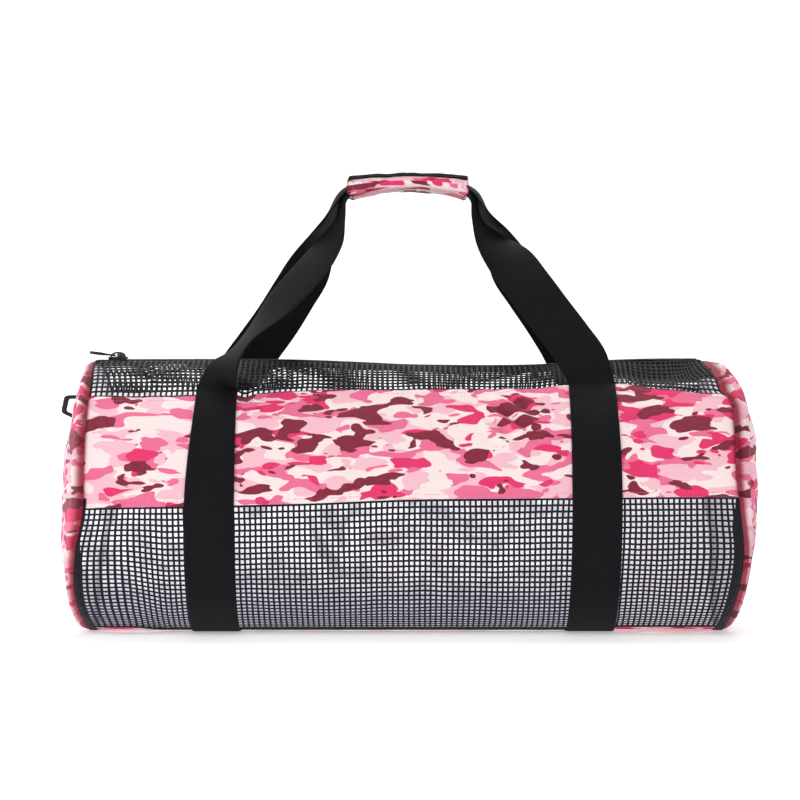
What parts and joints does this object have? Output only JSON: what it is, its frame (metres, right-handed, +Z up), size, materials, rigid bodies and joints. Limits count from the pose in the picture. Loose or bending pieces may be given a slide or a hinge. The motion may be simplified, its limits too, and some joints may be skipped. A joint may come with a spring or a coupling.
{
  "type": "mesh and camouflage cloth barrel gear bag",
  "caption": "Barrel duffel gear bag with coated mesh panels, pink camouflage cloth band and ends, a top zip and two webbing handles joined by a wrapped hand grip.",
  "frame": {"origin": "on the floor under the middle of the whole bag's box", "axes": "+X runs along the bag towards the end without the D-ring, the front face looks along -Y, +Z is up"},
  "size_m": [0.7395, 0.2946, 0.4856],
  "materials": {
    "camo_cloth": "matt printed plain weave",
    "coated_net": "satin coated open net",
    "black_webbing": "matt woven webbing",
    "zip_cloth": "matt woven tape",
    "zip_metal": "satin dark metal",
    "black_plastic": "satin moulded plastic"
  },
  "bodies": {
    "bag": {"front_band": "camo_cloth", "back_panel": "camo_cloth", "bottom_panel": "camo_cloth", "left_end_panel": "camo_cloth", "right_end_panel": "camo_cloth", "grip_wrap": "camo_cloth", "front_lower_net": "coated_net", "front_top_net": "coated_net", "back_top_net": "coated_net", "front_handle_strap": "black_webbing", "rear_handle_strap": "black_webbing", "d_ring_tab": "black_webbing", "zip_tape_front": "zip_cloth", "zip_tape_rear": "zip_cloth", "zip_chain": "zip_cloth", "grip_closure_strip": "zip_cloth", "zip_slider": "zip_metal"},
    "pull": {"zip_pull": "zip_metal"},
    "ring": {"d_ring": "black_plastic"}
  },
  "joints": [
    {"name": "zip_pull_hinge", "type": "hinge", "parent": "bag", "child": "pull", "pos_m": [-0.30511, 0, 0.29167], "axis": [0, 1, 0], "range_deg": [0, 160]},
    {"name": "d_ring_hinge", "type": "hinge", "parent": "bag", "child": "ring", "pos_m": [-0.35012, 0.04999, 0.236], "axis": [0.1998, 0, 0.9798], "range_deg": [-70, 70]}
  ]
}
